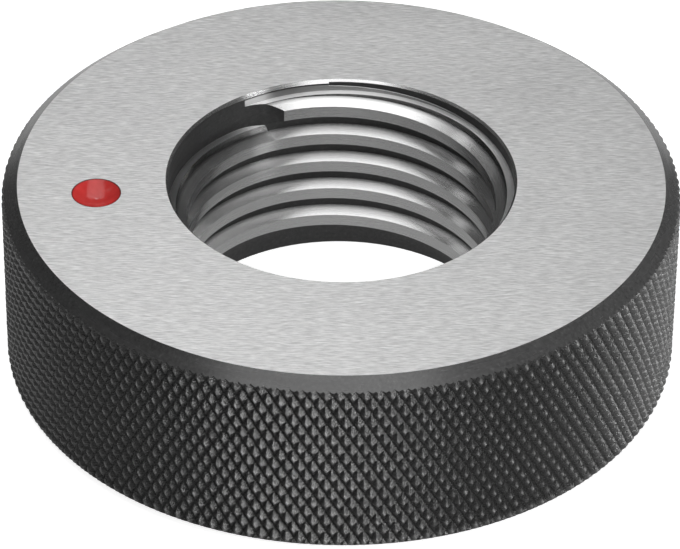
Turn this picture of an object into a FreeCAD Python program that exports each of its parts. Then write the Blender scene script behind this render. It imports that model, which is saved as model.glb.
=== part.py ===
# Thread ring gauge of the not-go kind for a 1 1/4 inch, 8 threads per inch external thread.
# One hardened steel ring, with a dished spot in its top face that is filled with red lacquer.
# Millimetres. The origin is the centre of the bottom face, and +Z is the axis of the bore.
# The thread looks the same from both faces: a half turn about a level line maps it onto itself.
import FreeCAD
import Part
import math
import os

from FreeCAD import Vector

# Ring blank
outer_diameter = 63.0
thickness = 19.2
edge_bevel_width = 1.5
edge_bevel_height = 1.15

# Thread, right-handed, with flat crests and flat roots
pitch = 25.4 / 8
pitch_diameter = 29.49
flank_angle = 30.0
crest_flat = 1.175
root_flat = 0.85

# Bore mouths, the same at both faces, clear of the thread's root
counterbore_clearance = 0.6
counterbore_depth = 1.1
mouth_bevel = 0.3

# Blunt ends, where a round cutter takes the thin first and last turn off the ridge
blunt_end_angle = 112.5
blunt_end_depth = 2.32
relief_cutter_diameter = 10.0
relief_step = 0.1
relief_turn = 325.0
relief_floor_rise = 0.3
relief_run_in = 5.0

# Marked spot, set in from the edge of the top face
spot_diameter = 4.6
spot_depth = 1.15
spot_inset = 7.25
spot_angle = 187.2
lacquer_drop = 0.06
lacquer_lip = 0.12
lacquer_dish_depth = 0.8

# Sizes that follow from the ones above
outer_radius = outer_diameter / 2
face_radius = outer_radius - edge_bevel_width
flank_slope = math.tan(math.radians(flank_angle))
crest_radius = pitch_diameter / 2 - (pitch / 2 - crest_flat) / (2 * flank_slope)
root_radius = pitch_diameter / 2 + (pitch / 2 - root_flat) / (2 * flank_slope)
counterbore_radius = root_radius + counterbore_clearance
mouth_radius = counterbore_radius + mouth_bevel
relief_radius = counterbore_radius + relief_step
spot_circle_radius = face_radius - spot_inset
axis_line = Vector(0, 0, 1)
tool_overlap = 0.5


def polar(radius, degrees, height=0.0):
    """The point at this distance from the bore's axis, this way round it."""
    angle = math.radians(degrees)
    return Vector(radius * math.cos(angle), radius * math.sin(angle), height)


def turned_blank():
    """The ring as it leaves the lathe, before it is bored: bevelled, with a recess in each face."""
    half_section = [
        (0, counterbore_depth),
        (counterbore_radius, counterbore_depth),
        (counterbore_radius, mouth_bevel),
        (mouth_radius, 0),
        (face_radius, 0),
        (outer_radius, edge_bevel_height),
        (outer_radius, thickness - edge_bevel_height),
        (face_radius, thickness),
        (mouth_radius, thickness),
        (counterbore_radius, thickness - mouth_bevel),
        (counterbore_radius, thickness - counterbore_depth),
        (0, thickness - counterbore_depth),
    ]
    points = [Vector(radius, 0, height) for radius, height in half_section]
    outline = Part.makePolygon(points + points[:1])
    return Part.Face(outline).revolve(Vector(0, 0, 0), axis_line, 360)


def helical_cut(section, start_angle, start_height, turns):
    """Sweep a section, given as radius and height above its middle, up along the thread's lead."""
    path = Part.makeHelix(pitch, pitch * turns, crest_radius)
    points = [Vector(radius, 0, height) for radius, height in section]
    outline = Part.makePolygon(points + points[:1])
    cut = Part.Wire(path).makePipeShell([outline], True, True)
    cut.rotate(Vector(0, 0, 0), axis_line, start_angle)
    cut.translate(Vector(0, 0, start_height))
    return cut


def groove_height(degrees):
    """Height of the middle of the groove that lies just under the ridge's top end."""
    lead = pitch * (degrees - blunt_end_angle) / 360
    return thickness - blunt_end_depth - pitch / 2 + lead


def threaded_bore():
    """The room inside the thread: the bore between the crests, and the groove run out past both
    faces. The two are joined first and then cut as one."""
    inner_radius = crest_radius - tool_overlap
    root_half = root_flat / 2
    inner_half = root_half + (root_radius - inner_radius) * flank_slope
    section = [
        (inner_radius, -inner_half),
        (root_radius, -root_half),
        (root_radius, root_half),
        (inner_radius, inner_half),
    ]
    turns_below = math.ceil((groove_height(blunt_end_angle) + pitch / 2) / pitch)
    start_height = groove_height(blunt_end_angle) - turns_below * pitch
    turns = math.ceil((thickness + pitch / 2 - start_height) / pitch)
    groove = helical_cut(section, blunt_end_angle, start_height, turns)
    base = Vector(0, 0, start_height - pitch)
    bore = Part.makeCylinder(crest_radius, pitch * (turns + 2), base)
    return bore.fuse(groove)


def relief_plan():
    """Seen from above, the room that the cutter clears: its own round at the ridge's end, then on
    round the bore. The cutter's round is tangent to the relief and meets the crest at the end."""
    cutter_radius = relief_cutter_diameter / 2
    centre_radius = relief_radius - cutter_radius
    squares = crest_radius**2 + centre_radius**2 - cutter_radius**2
    lag = math.degrees(math.acos(squares / (2 * crest_radius * centre_radius)))
    first = blunt_end_angle + lag
    last = first + relief_turn
    middle = (first + last) / 2
    centre = polar(centre_radius, first)
    tangent_point = polar(relief_radius, first)
    inside_point = centre + polar(cutter_radius, first - 90)
    halfway_point = centre + polar(cutter_radius, first - 45)
    sides = [
        Part.Arc(tangent_point, polar(relief_radius, middle), polar(relief_radius, last)),
        Part.LineSegment(polar(relief_radius, last), Vector(0, 0, 0)),
        Part.LineSegment(Vector(0, 0, 0), inside_point),
        Part.Arc(inside_point, halfway_point, tangent_point),
    ]
    outline = Part.Wire([side.toShape() for side in sides])
    return Part.Face(outline), first


def top_relief():
    """What the cutter takes away above the top end of the ridge, one pitch high along the lead.
    Its floor lies just over the middle of the groove."""
    plan, first = relief_plan()
    room = plan.extrude(Vector(0, 0, thickness + pitch))
    inner_radius = crest_radius - tool_overlap
    outer_reach = relief_radius + tool_overlap
    section = [(inner_radius, 0), (outer_reach, 0), (outer_reach, pitch), (inner_radius, pitch)]
    start = blunt_end_angle - relief_run_in
    end = first + relief_turn + relief_run_in
    floor_height = groove_height(start) + relief_floor_rise
    sweep = helical_cut(section, start, floor_height, (end - start) / 360)
    return sweep.common(room)


def half_turn_axis():
    """The level line through the middle of the ring about which the thread maps onto itself."""
    top_middle = thickness - blunt_end_depth
    degrees = blunt_end_angle + 180 * (thickness - 2 * top_middle) / pitch
    return Vector(0, 0, thickness / 2), polar(1, degrees)


def spot_centre():
    return polar(spot_circle_radius, spot_angle, thickness)


def dish(width, depth, drop=0.0):
    """A ball that dips into the top face, this wide and deep where its rim lies this far down."""
    radius = (width**2 / 4 + depth**2) / (2 * depth)
    lift = radius - depth - drop
    return Part.makeSphere(radius, spot_centre() + Vector(0, 0, lift))


def width_at_drop(drop):
    """Width of the spot's dish this far below the top face."""
    radius = (spot_diameter**2 / 4 + spot_depth**2) / (2 * spot_depth)
    above = radius - spot_depth + drop
    return 2 * math.sqrt(radius**2 - above**2)


def gauge_ring():
    ring = turned_blank().cut(threaded_bore())
    relief = top_relief()
    ring = ring.cut(relief)
    middle, level_line = half_turn_axis()
    ring = ring.cut(relief.rotated(middle, level_line, 180))
    return ring.cut(dish(spot_diameter, spot_depth))


def red_mark():
    """Lacquer that has set in the spot, thick in the middle and with a thin flat lip at its rim."""
    reach = 2 * spot_depth
    base = spot_centre() - Vector(0, 0, lacquer_drop + reach)
    below_lip = Part.makeCylinder(spot_diameter, reach, base)
    filled = dish(spot_diameter, spot_depth).common(below_lip)
    hollow_width = width_at_drop(lacquer_drop) - 2 * lacquer_lip
    return filled.cut(dish(hollow_width, lacquer_dish_depth, lacquer_drop))


def write_step(name, shape):
    """Write a piece, which has to be a single solid."""
    (solid,) = shape.Solids
    solid.exportStep("parts/" + name + ".step")
    print(name, "valid", solid.isValid(), "volume", round(solid.Volume, 2))


os.makedirs("parts", exist_ok=True)
write_step("gauge_ring", gauge_ring())
write_step("red_mark", red_mark())
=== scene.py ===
import math

import bmesh
import bpy
import numpy as np
from mathutils import Matrix, Vector

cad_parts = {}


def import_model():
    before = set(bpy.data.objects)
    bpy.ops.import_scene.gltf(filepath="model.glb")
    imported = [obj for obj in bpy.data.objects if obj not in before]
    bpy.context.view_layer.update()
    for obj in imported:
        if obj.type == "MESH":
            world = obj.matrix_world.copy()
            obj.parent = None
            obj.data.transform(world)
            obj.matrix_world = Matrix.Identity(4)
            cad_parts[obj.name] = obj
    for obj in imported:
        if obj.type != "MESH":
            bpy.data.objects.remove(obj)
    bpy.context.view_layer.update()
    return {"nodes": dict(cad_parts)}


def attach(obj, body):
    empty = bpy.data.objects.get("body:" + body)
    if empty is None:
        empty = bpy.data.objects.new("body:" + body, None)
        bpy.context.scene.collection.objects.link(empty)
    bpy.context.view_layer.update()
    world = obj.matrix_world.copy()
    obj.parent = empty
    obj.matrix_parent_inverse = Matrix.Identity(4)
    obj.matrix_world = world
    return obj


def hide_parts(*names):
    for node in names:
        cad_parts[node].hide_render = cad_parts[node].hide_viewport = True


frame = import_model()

MM = 0.001

# The ring's own sizes in millimetres, as the solids have them
FACE_R = 30.0
THICKNESS = 19.2
BEVEL_WIDTH = 1.5
BEVEL_HEIGHT = 1.15
CREST_R = 14.388
ROOT_R = 15.384
COUNTERBORE_R = 15.984
COUNTERBORE_DEPTH = 1.1
MOUTH_BEVEL = 0.3
PITCH = 3.175
BLUNT_END_AT = 112.5
BLUNT_END_DEPTH = 2.32

# Reading the solid's mesh: corners this close (m) are one, the cuts made in each open edge, how
# near (mm) a point lies to a face, an edge or a wall that it is on, and the degrees past the
# ridge's top end where the relief's round comes out to the root
WELD = 2e-7
EDGE_CUTS = 5
ON_FACE = 0.05
ON_EDGE = 0.02
ON_CREST = 0.03
ON_WALL = 0.015
RELIEF_LAG = 5.5

# Edges of the ring that turn by more than this (radians) are shaded sharp
CREASE = 0.45

# Knurl, in millimetres: two crossed sets of V grooves, the ones down to the right deeper than the
# others. The rise is the height of a diamond, the tip is the flat share of a groove's spacing,
# and the wander is how much lower a tip may lie. Next to a bevel the grooves have only the edge
# share of their depth, and ease into the rest. The tips stay a hair inside the solid's facets.
# The lattice stops a margin short of the ground faces and is then cut where it meets the bevels,
# with points this near to a bevel taken as on it
KNURL_R = 31.49
KNURL_COUNT = 170
KNURL_RISE = 2.02
KNURL_DEPTH = 0.45
KNURL_SECOND_DEPTH = 0.35
KNURL_TIP = 0.08
KNURL_WANDER = 0.03
KNURL_WANDER_ROWS = 64
KNURL_SEED = 7
KNURL_EASE = 0.3
KNURL_EDGE_SHARE = 0.75
KNURL_MARGIN = 0.3
ON_BEVEL = 0.004

# The spot and its lacquer
SPOT_AT = 187.2
SPOT_CIRCLE_R = 22.75
SPOT_DEPTH = 1.15
SPOT_BALL_R = 2.875
LACQUER_DROP = 0.06
LACQUER_DISH = 0.8
LACQUER_LIP = 0.12
LIP_SWELL = 0.045
DISH_STEPS = 24
LIP_STEPS = 8
UNDERSIDE_STEPS = 16
LACQUER_SIDES = 96

# The photograph's viewpoint, fitted to the ring's circles and thread
CAMERA_AT = (0, -0.35259, 0.268337)
CAMERA_RIGHT = (0.999952, 0.005904, 0.007818)
CAMERA_LOOK = (-0.000107, 0.804494, -0.593960)
CAMERA_LENS = 246.795
SENSOR_WIDTH = 36
CAMERA_CLIP = (0.01, 20)

# Studio: the floor's half width (m), and how brightly each kind of ray sees it glow
FLOOR_REACH = 1.5
FLOOR_GLOW = [("Is Camera Ray", 0.85), ("Is Transmission Ray", 0.85), ("Is Glossy Ray", 0.4)]
WORLD_STRENGTH = 0.06

# Lamps: name, place and target in metres, size and radiance. The hot spot mirrors softly in the
# ground face. The strip at the front right lies under that face's plane and rakes the knurl. The
# low one gives the upper left crests their streak
LAMPS = [
    ("overhead", (-0.022, 0.0, 0.6), (-0.022, 0.0001, 0), (0.524, 1.24), 1.47),
    ("side", (0.68, -0.145, 0.07), (0, 0, 0.01), (0.5, 0.14), 0.3),
    ("hot_spot", (-0.05, 0.565, 0.595), (-0.05, 0.5651, 0), (0.09, 0.06), 6.0),
    ("upper_left", (-0.435, 0.191, 0.58), (0, 0, 0), (0.12, 0.12), 0.8),
    ("front_right", (0.5, -0.4, 0.0095), (0, 0, 0.0095), (0.28, 0.016), 240.0),
    ("low_right", (0.555, -0.375, 0.165), (0, 0, 0.01), (0.17, 0.28), 12.0),
]


def from_axis(point):
    """Distance of a point from the bore's axis."""
    return math.hypot(point[0], point[1])


def bearing(point):
    """Which way from the bore's axis a point lies, in radians from +X."""
    return math.atan2(point[1], point[0])


def grey(tone):
    return (tone, tone, tone, 1)


# Materials

class Finish:
    """A node material in the making: its Principled shader, and short ways to add to its tree."""

    def __init__(self, name, **sockets):
        self.material = bpy.data.materials.new(name)
        self.material.use_nodes = True
        self.tree = self.material.node_tree
        self.shader = self.tree.nodes["Principled BSDF"]
        for key, value in sockets.items():
            self.feed(self.shader, key.replace("_", " "), value)

    def feed(self, node, key, value):
        """Link an output to this input, or set the input to a plain value."""
        if isinstance(value, bpy.types.NodeSocket):
            self.tree.links.new(value, node.inputs[key])
        else:
            node.inputs[key].default_value = value

    def add(self, kind, inputs=(), **settings):
        node = self.tree.nodes.new(kind)
        for key, value in settings.items():
            setattr(node, key, value)
        for key, value in dict(inputs).items():
            self.feed(node, key, value)
        return node

    def calc(self, operation, *values):
        """A sum on plain numbers."""
        return self.add("ShaderNodeMath", enumerate(values), operation=operation).outputs[0]

    def point_calc(self, operation, *values):
        """A sum on points. A length or a distance comes out as a plain number."""
        outputs = self.add("ShaderNodeVectorMath", enumerate(values), operation=operation).outputs
        return outputs["Value" if operation in ("LENGTH", "DISTANCE") else "Vector"]

    def along(self, axis, value):
        """A point that lies this far along one axis."""
        return self.add("ShaderNodeCombineXYZ", {axis: value}).outputs[0]

    def place(self):
        return self.add("ShaderNodeTexCoord").outputs["Object"]

    def height(self):
        return self.add("ShaderNodeSeparateXYZ", {0: self.place()}).outputs["Z"]

    def straight(self, along_x, along_y, along_z):
        """The place in millimetres, each way stretched by its own factor."""
        stretch = [factor / MM for factor in (along_x, along_y, along_z)]
        return self.add("ShaderNodeMapping", {"Vector": self.place(), "Scale": stretch}).outputs[0]

    def axis_distance(self):
        """The place as seen from above, and its distance from the bore's axis."""
        flat = self.point_calc("MULTIPLY", self.place(), (1, 1, 0))
        return flat, self.point_calc("LENGTH", flat)

    def turned(self, around, across):
        """A point that follows the lathe: slow round the axis, quick out from it and along it."""
        flat, distance = self.axis_distance()
        way = self.point_calc("NORMALIZE", flat)
        slow = self.point_calc("MULTIPLY", way, (around, around, around))
        quick = self.calc("MULTIPLY", self.calc("ADD", distance, self.height()), across / MM)
        return self.point_calc("ADD", slow, self.along("Z", quick))

    def noise(self, point, detail, roughness=0.5):
        inputs = {"Vector": point, "Scale": 1.0, "Detail": detail, "Roughness": roughness}
        return self.add("ShaderNodeTexNoise", inputs).outputs["Fac"]

    def ramp(self, value, stops):
        """Colours, or plain tones, at these places along a value."""
        node = self.add("ShaderNodeValToRGB", {"Fac": value})
        elements = node.color_ramp.elements
        while len(elements) < len(stops):
            elements.new(0.5)
        for element, (place, colour) in zip(elements, stops):
            element.position = place
            element.color = (*(colour if isinstance(colour, tuple) else (colour,) * 3), 1)
        return node.outputs["Color"]

    def spread(self, value, low, high, start=0.3, end=0.7):
        """Carry a value from start and end, by default where noise stays, over to low and high."""
        inputs = {"Value": value, "From Min": start, "From Max": end, "To Min": low, "To Max": high}
        return self.add("ShaderNodeMapRange", inputs).outputs["Result"]

    def tint(self, share, colour):
        """Carry this share of the shader's colour over to another one."""
        plain = self.shader.inputs["Base Color"].links[0].from_socket
        node = self.add("ShaderNodeMix", {0: share}, data_type="RGBA")
        self.tree.links.new(plain, node.inputs[6])
        node.inputs[7].default_value = colour
        self.feed(self.shader, "Base Color", node.outputs[2])

    def bump(self, height, distance, below=None):
        inputs = {"Height": height, "Distance": distance * MM, "Strength": 1.0}
        if below is not None:
            inputs["Normal"] = below
        normal = self.add("ShaderNodeBump", inputs).outputs["Normal"]
        self.feed(self.shader, "Normal", normal)
        return normal

    def smear(self, amount, direction):
        """Stretch reflections along this direction, as fine grooves across it do."""
        self.feed(self.shader, "Anisotropic", amount)
        self.feed(self.shader, "Tangent", direction)


def ground_face():
    """Ground steel with short strokes along X, which smear reflections along Y."""
    finish = Finish("ground_face", Metallic=1.0)
    wave = finish.spread(finish.noise(finish.straight(0.3, 0.3, 1.0), 2.0), -1.0, 1.0)
    way = finish.point_calc("ADD", finish.straight(0.9, 7.5, 1.0), finish.along("Y", wave))
    strokes = finish.noise(way, 4.0, 0.6)
    fine = finish.noise(finish.straight(1.6, 14.0, 1.0), 2.0)
    clouds = finish.noise(finish.straight(0.06, 0.16, 1.0), 2.0)
    tone = finish.ramp(strokes, [(0.3, 0.52), (0.5, 0.70), (0.7, 0.90)])
    finish.feed(finish.shader, "Base Color", tone)
    rough = finish.calc("ADD", finish.spread(fine, 0.0, 0.08), finish.spread(clouds, 0.31, 0.36))
    finish.feed(finish.shader, "Roughness", rough)
    finish.smear(0.5, finish.along("Y", 1.0))
    finish.bump(fine, 0.004, finish.bump(strokes, 0.014))
    return finish


def black_oxide(name, tone, ior, gloss, grain, pitting=0.012):
    """Blackened steel, satin, with turning lines and slightly mottled."""
    finish = Finish(name, IOR=ior)
    lines = finish.noise(finish.turned(3.0, 4.0), 3.0, 0.6)
    specks = finish.noise(finish.straight(grain, grain, grain), 3.0, 0.7)
    colour = finish.ramp(specks, [(0.3, tone * 0.7), (0.62, tone * 1.2), (0.72, tone * 1.8)])
    finish.feed(finish.shader, "Base Color", colour)
    finish.feed(finish.shader, "Roughness", finish.spread(lines, gloss - 0.06, gloss + 0.06))
    finish.bump(specks, pitting, finish.bump(lines, 0.02))
    return finish


def black_knurl():
    """Blackened steel, with the knurl's tips worn a little brighter and its grooves duller."""
    finish = black_oxide("black_knurl", tone=0.009, ior=1.54, gloss=0.27, grain=6.0, pitting=0.07)
    _, distance = finish.axis_distance()
    worn = finish.spread(distance, 0.0, 1.0, (KNURL_R - 0.14) * MM, (KNURL_R - 0.02) * MM)
    patches = finish.spread(finish.noise(finish.straight(1.1, 1.1, 0.6), 2.0), 0.0, 1.0)
    finish.tint(finish.calc("MULTIPLY", worn, patches), grey(0.16))
    shine = finish.spread(distance, 0.38, 0.5, (KNURL_R - 0.40) * MM, (KNURL_R - 0.12) * MM)
    finish.feed(finish.shader, "Specular IOR Level", shine)
    return finish


def turned_steel(name, low, high, gloss, depth):
    """Bright steel with fine lines round the bore, which smear reflections out from the axis."""
    finish = Finish(name, Metallic=1.0, Anisotropic_Rotation=0.25)
    lines = finish.noise(finish.turned(2.0, 5.0), 4.0, 0.65)
    finish.feed(finish.shader, "Base Color", finish.ramp(lines, [(0.3, low), (0.7, high)]))
    finish.feed(finish.shader, "Roughness", finish.spread(lines, gloss * 0.85, gloss * 1.15))
    round_axis = finish.add("ShaderNodeTangent", direction_type="RADIAL", axis="Z").outputs[0]
    finish.smear(1.0, round_axis)
    finish.bump(lines, depth)
    return finish


def lapped_flank():
    """A thread flank, lapped bright near the crest, with painted shade that darkens it towards the
    root, where the ridge above shades it.
    """
    finish = turned_steel("lapped_flank", low=0.80, high=0.90, gloss=0.22, depth=0.0005)
    _, distance = finish.axis_distance()
    # Painted shade: the flank turns darker towards the root, in place of the shade cast by the
    # ridge above
    share = finish.spread(distance, 0.0, 0.75, (CREST_R + 0.65) * MM, ROOT_R * MM)
    finish.tint(share, grey(0.08))
    return finish


def turned_mouth():
    """The wall of a bore mouth, with a painted shadow line under its bevel."""
    finish = turned_steel("turned_mouth", low=0.38, high=0.48, gloss=0.30, depth=0.004)
    above_middle = finish.calc("SUBTRACT", finish.height(), THICKNESS / 2 * MM)
    away = finish.calc("ABSOLUTE", above_middle)
    edge = (THICKNESS / 2 - MOUTH_BEVEL) * MM
    # Painted shadow: a dark band on the wall just under the mouth's bevel
    finish.tint(finish.spread(away, 0.0, 1.0, edge - 0.2 * MM, edge - 0.1 * MM), grey(0.05))
    return finish


def spot_middle():
    return Matrix.Rotation(math.radians(SPOT_AT), 4, "Z") @ Vector((SPOT_CIRCLE_R, 0, THICKNESS))


def red_lacquer():
    """Thick glossy lacquer, a little uneven, with a painted shadow that darkens a thin ring at its
    rim, where it meets the steel.
    """
    finish = Finish("red_lacquer")
    cloud = finish.noise(finish.straight(0.9, 0.9, 0.9), 2.0)
    tone = finish.ramp(cloud, [(0.3, (0.67, 0.039, 0.037)), (0.7, (0.77, 0.062, 0.056))])
    offset = finish.point_calc("DISTANCE", finish.place(), spot_middle() * MM)
    # Painted shadow: the lacquer turns dark in a thin ring at its rim
    rim_shadow = finish.spread(offset, 0.0, 1.0, 2.12 * MM, 2.24 * MM)
    finish.feed(finish.shader, "Base Color", tone)
    finish.tint(rim_shadow, (0.16, 0.01, 0.01, 1))
    finish.feed(finish.shader, "Roughness", finish.spread(cloud, 0.15, 0.21))
    finish.bump(cloud, 0.02)
    return finish


FINISHES = {
    "face": ground_face(),
    "bevel": black_oxide("black_bevel", tone=0.045, ior=1.8, gloss=0.26, grain=3.0, pitting=0.002),
    "knurl": black_knurl(),
    "flank": lapped_flank(),
    # The crests' dark tone is painted shade, in place of the darker surroundings that they mirror
    "crest": turned_steel("ground_crest_painted_shade", low=0.37, high=0.46, gloss=0.28, depth=0.003),
    "recess": turned_steel("turned_recess", low=0.88, high=0.95, gloss=0.55, depth=0.003),
    "mouth": turned_mouth(),
    "rim": turned_steel("ground_rim", low=0.78, high=0.88, gloss=0.22, depth=0.002),
    # The relief's dark finish also serves as painted shade on the roots under the ridges
    "relief": black_oxide("black_relief_and_root_shade", tone=0.036, ior=1.5, gloss=0.42, grain=3.0),
}
SLOTS = list(FINISHES)


# The ring

def under_relief(point):
    """Whether a point at the root lies in the top turn that the relief has opened. Roots there keep
    the bright flank finish; the other roots get the dark relief finish as painted shade from the
    ridges above them."""
    turned = (math.degrees(bearing(point)) - BLUNT_END_AT) % 360
    middle = THICKNESS - BLUNT_END_DEPTH - PITCH / 2 + PITCH * turned / 360
    return turned > RELIEF_LAG and abs(point.z - middle) < PITCH / 2


def finish_of(face):
    """Which finish a face of the solid has, from where it lies and how far up or down it looks:
    1 on a level face, 0.87 on a flank of the thread, 0.71 on a mouth's bevel and 0 on a wall."""
    centre = face.calc_center_median() / MM
    distance = from_axis(centre)
    depth = min(centre.z, THICKNESS - centre.z)
    upward = abs(face.normal.z)
    if upward > 0.98:
        return "face" if depth < ON_FACE else "recess"
    if distance > FACE_R:
        return "bevel"
    in_spot = distance > COUNTERBORE_R + 1
    if in_spot:
        return "relief"
    if upward > 0.75:
        return "flank"
    if upward > 0.5:
        return "rim"
    if abs(distance - CREST_R) < ON_CREST:
        return "crest"
    if abs(distance - COUNTERBORE_R) < ON_WALL and depth < COUNTERBORE_DEPTH:
        return "mouth"
    # Roots open to the light in the top turn get the bright flank; the others fall through to the
    # dark relief finish, painted shade under the ridges
    if abs(distance - ROOT_R) < ON_WALL and under_relief(centre):
        return "flank"
    return "relief"


def on_plain_rim(face):
    """Whether a face of the solid is one of its bevels' or its plain band's."""
    nearest = min(from_axis(v.co) for v in face.verts)
    outside = from_axis(face.calc_center_median()) > FACE_R * MM
    return nearest > (FACE_R - ON_EDGE) * MM and (outside or abs(face.normal.z) < 0.95)


def bored_body():
    """The solid's own faces, bore and mouths, without its plain rim, whose loops stay open."""
    bm = bmesh.new()
    bm.from_mesh(frame["nodes"]["gauge_ring"].data)
    bmesh.ops.remove_doubles(bm, verts=bm.verts, dist=WELD)
    bmesh.ops.delete(bm, geom=[f for f in bm.faces if on_plain_rim(f)], context="FACES")
    loose = [e for e in bm.edges if not e.link_faces]
    bmesh.ops.delete(bm, geom=loose, context="EDGES")
    border = [e for e in bm.edges if len(e.link_faces) == 1]
    made = bmesh.ops.subdivide_edges(bm, edges=border, cuts=EDGE_CUTS, use_grid_fill=False)
    for item in made["geom_inner"]:
        if isinstance(item, bmesh.types.BMVert):
            scale = FACE_R * MM / from_axis(item.co)
            item.co.x *= scale
            item.co.y *= scale
    return bm


def groove_drop(u, v):
    """How far below the tips the crossed grooves leave the rim, at these two groove phases."""
    wall = KNURL_DEPTH / (1 - KNURL_TIP)
    first = KNURL_DEPTH - wall * (1 - abs(2 * (u % 1) - 1))
    second = KNURL_SECOND_DEPTH - wall * (1 - abs(2 * (v % 1) - 1))
    return max(0.0, first, second)


def groove_share(z):
    """Share of their full depth that the grooves have at this height, less near the bevels."""
    inside = min(z, THICKNESS - z) - BEVEL_HEIGHT
    eased = min(max(inside / KNURL_EASE, 0.0), 1.0)
    return KNURL_EDGE_SHARE + (1 - KNURL_EDGE_SHARE) * eased


def knurl_lattice():
    """Points (mm) and triangles of the knurl, run on past the bevels. Each diamond has a small
    flat tip of its own height. Phases u and v count the grooves of the two sets, and the lattice
    has lines wherever a wall of either set starts, ends or turns into one of the other."""
    top = (1 - KNURL_TIP) / 2
    second_top = top * KNURL_SECOND_DEPTH / KNURL_DEPTH
    turn_over = top - second_top
    u_places = [0.0, turn_over, top, 1 - top, 1 - turn_over]
    v_places = [0.0, second_top, 1 - second_top]
    half_height = THICKNESS / 2 - KNURL_MARGIN
    reach = math.ceil(2 * half_height / KNURL_RISE) + 1
    random = np.random.default_rng(KNURL_SEED)
    wander = random.uniform(0, KNURL_WANDER, (KNURL_COUNT, KNURL_WANDER_ROWS))
    points, index = [], {}

    def phase(places, k):
        return k // len(places) + places[k % len(places)]

    def point(a, b):
        rounds = a // (KNURL_COUNT * len(u_places))
        a -= rounds * KNURL_COUNT * len(u_places)
        b -= rounds * KNURL_COUNT * len(v_places)
        if (a, b) not in index:
            u, v = phase(u_places, a), phase(v_places, b)
            angle = math.pi * (u + v) / KNURL_COUNT
            z = THICKNESS / 2 + KNURL_RISE * (u - v) / 2
            drop = groove_drop(u, v)
            own = wander[math.floor(u) % KNURL_COUNT, math.floor(v) % KNURL_WANDER_ROWS]
            distance = KNURL_R - drop * groove_share(z) - own * (1 - drop / KNURL_DEPTH)
            index[a, b] = len(points)
            points.append((distance * math.cos(angle), distance * math.sin(angle), z))
        return index[a, b]

    triangles = []
    for a in range(KNURL_COUNT * len(u_places)):
        cell = a // len(u_places)
        for b in range((cell - reach) * len(v_places), (cell + reach + 1) * len(v_places)):
            if KNURL_RISE * abs(phase(u_places, a) - phase(v_places, b)) / 2 > half_height:
                continue
            steps = [(a, b), (a + 1, b), (a + 1, b + 1), (a, b + 1)]
            one, two, three, four = [point(*step) for step in steps]
            u_rises = a % len(u_places) < u_places.index(top)
            v_rises = b % len(v_places) < v_places.index(second_top)
            # Split along the fold: level where both walls rise or both fall, and upright elsewhere
            if u_rises == v_rises:
                triangles += [(one, two, three), (one, three, four)]
            else:
                triangles += [(one, two, four), (two, three, four)]
    return points, triangles


def inside_bevels(point):
    """How far inside the bevels' cones a point lies, in millimetres."""
    cone = FACE_R + min(point[2], THICKNESS - point[2]) * BEVEL_WIDTH / BEVEL_HEIGHT
    depth = cone - from_axis(point)
    return 0.0 if abs(depth) < ON_BEVEL else depth


def cut_by_bevels(points, triangles):
    """Keep the part of the triangles inside the bevels, with new points where they are cut."""
    depth = [inside_bevels(point) for point in points]
    cuts, kept = {}, []

    def cut_point(i, j):
        i, j = min(i, j), max(i, j)
        if (i, j) not in cuts:
            share = depth[i] / (depth[i] - depth[j])
            cuts[i, j] = len(points)
            points.append(tuple(Vector(points[i]).lerp(Vector(points[j]), share)))
            depth.append(0.0)
        return cuts[i, j]

    for triangle in triangles:
        outline = []
        for here, there in zip(triangle, triangle[1:] + triangle[:1]):
            if depth[here] >= 0:
                outline.append(here)
            if depth[here] * depth[there] < 0:
                outline.append(cut_point(here, there))
        if max(depth[i] for i in triangle) > 0:
            kept += [(outline[0], outline[n], outline[n + 1]) for n in range(1, len(outline) - 1)]
    return kept


def bridge(bm, inner, outer, upward):
    """Triangles between two closed loops that both run once round the axis."""
    inner, outer = [sorted(loop, key=lambda v: bearing(v.co)) for loop in (inner, outer)]

    def angle(loop, n):
        return bearing(loop[n % len(loop)].co) + 2 * math.pi * (n // len(loop))

    made = []
    i = o = 0
    while i < len(inner) or o < len(outer):
        corners = [inner[i % len(inner)], outer[o % len(outer)]]
        if o < len(outer) and (i >= len(inner) or angle(outer, o + 1) <= angle(inner, i + 1)):
            o += 1
            corners.append(outer[o % len(outer)])
        else:
            i += 1
            corners.append(inner[i % len(inner)])
        if not upward:
            corners.reverse()
        made.append(bm.faces.new(corners))
    return made


def add_knurl(bm):
    points, triangles = knurl_lattice()
    triangles = cut_by_bevels(points, triangles)
    used = sorted({i for triangle in triangles for i in triangle})
    verts = {i: bm.verts.new([c * MM for c in points[i]]) for i in used}
    return [bm.faces.new([verts[i] for i in triangle]) for triangle in triangles]


def add_bevels(bm):
    """Close both bevels, from the ground faces' edges out to the knurl's zigzag."""
    def beyond_face(vert):
        return from_axis(vert.co) > (FACE_R + ON_EDGE) * MM

    open_verts = {v for e in bm.edges if len(e.link_faces) == 1 for v in e.verts}
    made = []
    for upward in (True, False):
        level = [v for v in open_verts if (v.co.z > THICKNESS / 2 * MM) == upward]
        inner = [v for v in level if not beyond_face(v)]
        outer = [v for v in level if beyond_face(v)]
        made += bridge(bm, inner, outer, upward)
    return made


def new_piece(name, bm, materials):
    mesh = bpy.data.meshes.new(name)
    bm.to_mesh(mesh)
    bm.free()
    for material in materials:
        mesh.materials.append(material)
    piece = bpy.data.objects.new(name, mesh)
    bpy.context.scene.collection.objects.link(piece)
    return piece


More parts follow.
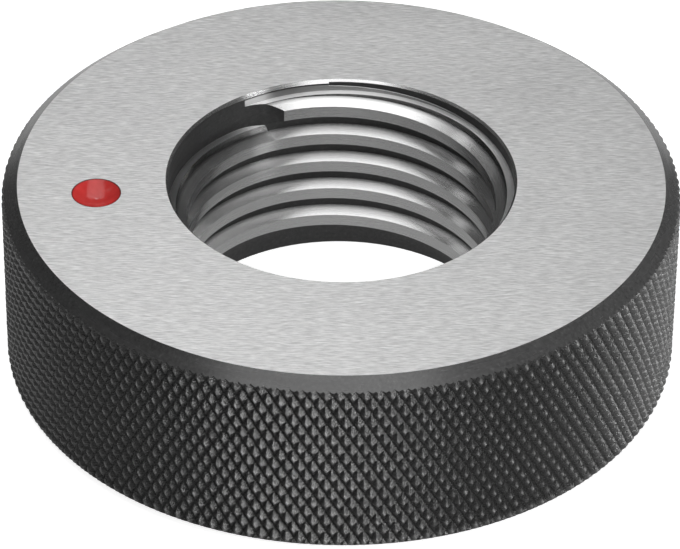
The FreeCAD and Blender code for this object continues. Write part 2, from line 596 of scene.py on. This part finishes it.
def ring():
    """The bored body with its knurled rim and bevels, each face with its own finish."""
    bm = bored_body()
    knurl, bevel = SLOTS.index("knurl"), SLOTS.index("bevel")
    for face in add_knurl(bm):
        face.material_index = knurl
    for face in add_bevels(bm):
        face.material_index = bevel
    bmesh.ops.triangulate(bm, faces=[f for f in bm.faces if len(f.verts) > 3])
    bmesh.ops.recalc_face_normals(bm, faces=bm.faces)
    bm.normal_update()
    for face in bm.faces:
        face.smooth = face.material_index != knurl
        if face.material_index not in (knurl, bevel):
            face.material_index = SLOTS.index(finish_of(face))
    for edge in bm.edges:
        if len(edge.link_faces) == 2:
            one, two = edge.link_faces
            flat = edge.calc_face_angle() < CREASE
            edge.smooth = one.material_index == two.material_index and flat
    open_edges = sum(len(e.link_faces) != 2 for e in bm.edges)
    print("ring: triangles", len(bm.faces), "open edges", open_edges,
          "volume mm3", round(bm.calc_volume() / MM**3, 1))
    return new_piece("ring_body", bm, [finish.material for finish in FINISHES.values()])


# The lacquer

def lacquer_profile():
    """Distance from the spot's middle and height over the top face, from the dish's middle out
    over the lip and back below along the spot's own ball."""
    ball_height = SPOT_BALL_R - SPOT_DEPTH
    rim = math.sqrt(SPOT_BALL_R**2 - (ball_height + LACQUER_DROP)**2)
    hollow = rim - LACQUER_LIP
    dish_ball = (hollow**2 + LACQUER_DISH**2) / (2 * LACQUER_DISH)
    profile = []
    for n in range(1, DISH_STEPS + 1):
        r = hollow * n / DISH_STEPS
        sunk = LACQUER_DISH - dish_ball + math.sqrt(dish_ball**2 - r**2)
        profile.append((r, -LACQUER_DROP - sunk))
    for n in range(1, LIP_STEPS + 1):
        a = math.pi * n / (2 * LIP_STEPS)
        swell = LIP_SWELL * math.sin(2 * a)
        profile.append((hollow + LACQUER_LIP * math.sin(a), swell - LACQUER_DROP))
    for n in range(1, UNDERSIDE_STEPS):
        r = rim * (1 - n / UNDERSIDE_STEPS)
        profile.append((r, ball_height - math.sqrt(SPOT_BALL_R**2 - r**2)))
    return profile


def lacquer():
    """The lacquer's profile turned round the spot's middle."""
    spot = spot_middle()
    bm = bmesh.new()

    def vert(r, z, k=0):
        a = 2 * math.pi * k / LACQUER_SIDES
        return bm.verts.new((spot + Vector((r * math.cos(a), r * math.sin(a), z))) * MM)

    first = vert(0, -LACQUER_DROP - LACQUER_DISH)
    loops = [[vert(r, z, k) for k in range(LACQUER_SIDES)] for r, z in lacquer_profile()]
    last = vert(0, -SPOT_DEPTH)
    for k in range(LACQUER_SIDES):
        j = (k + 1) % LACQUER_SIDES
        bm.faces.new((first, loops[0][k], loops[0][j]))
        bm.faces.new((last, loops[-1][j], loops[-1][k]))
        for low, high in zip(loops, loops[1:]):
            bm.faces.new((low[k], high[k], high[j], low[j]))
    bmesh.ops.recalc_face_normals(bm, faces=bm.faces)
    for face in bm.faces:
        face.smooth = True
    return new_piece("lacquer", bm, [red_lacquer().material])


# Stage, light and camera

def floor():
    """A pale floor. Camera, mirror and glass rays see it near white, with a faint shadow left."""
    bm = bmesh.new()
    bmesh.ops.create_grid(bm, x_segments=1, y_segments=1, size=FLOOR_REACH)
    finish = Finish("pale_floor", Base_Color=grey(0.8), Roughness=0.9, Emission_Color=grey(1.0))
    path = finish.add("ShaderNodeLightPath").outputs
    glow = 0.0
    for kind, strength in FLOOR_GLOW:
        glow = finish.calc("MULTIPLY_ADD", path[kind], strength, glow)
    finish.feed(finish.shader, "Emission Strength", glow)
    new_piece("floor", bm, [finish.material])


def world():
    made = bpy.data.worlds.new("studio")
    made.use_nodes = True
    background = made.node_tree.nodes["Background"]
    background.inputs["Color"].default_value = grey(1.0)
    background.inputs["Strength"].default_value = WORLD_STRENGTH
    bpy.context.scene.world = made


def softbox(name, place, target, size, radiance):
    """A lit rectangle that is aimed at its target, with a power that gives it this radiance."""
    lamp = bpy.data.lights.new(name, "AREA")
    lamp.shape = "RECTANGLE"
    lamp.size, lamp.size_y = size
    lamp.energy = radiance * math.pi * size[0] * size[1]
    piece = bpy.data.objects.new(name, lamp)
    piece.location = place
    piece.rotation_mode = "QUATERNION"
    piece.rotation_quaternion = (Vector(target) - Vector(place)).to_track_quat("-Z", "Y")
    bpy.context.scene.collection.objects.link(piece)


def camera():
    data = bpy.data.cameras.new("camera")
    data.sensor_width = SENSOR_WIDTH
    data.lens = CAMERA_LENS
    data.clip_start, data.clip_end = CAMERA_CLIP
    piece = bpy.data.objects.new("camera", data)
    right, look = Vector(CAMERA_RIGHT), Vector(CAMERA_LOOK)
    turn = Matrix((right, right.cross(look), -look)).transposed()
    piece.matrix_world = Matrix.Translation(CAMERA_AT) @ turn.to_4x4()
    bpy.context.scene.collection.objects.link(piece)
    bpy.context.scene.camera = piece


camera()
body = ring()
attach(body, "root")
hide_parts("gauge_ring")
mark = lacquer()
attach(mark, "root")
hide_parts("red_mark")
floor()
world()
for lamp in LAMPS:
    softbox(*lamp)

bpy.context.scene.view_settings.view_transform = "Standard"
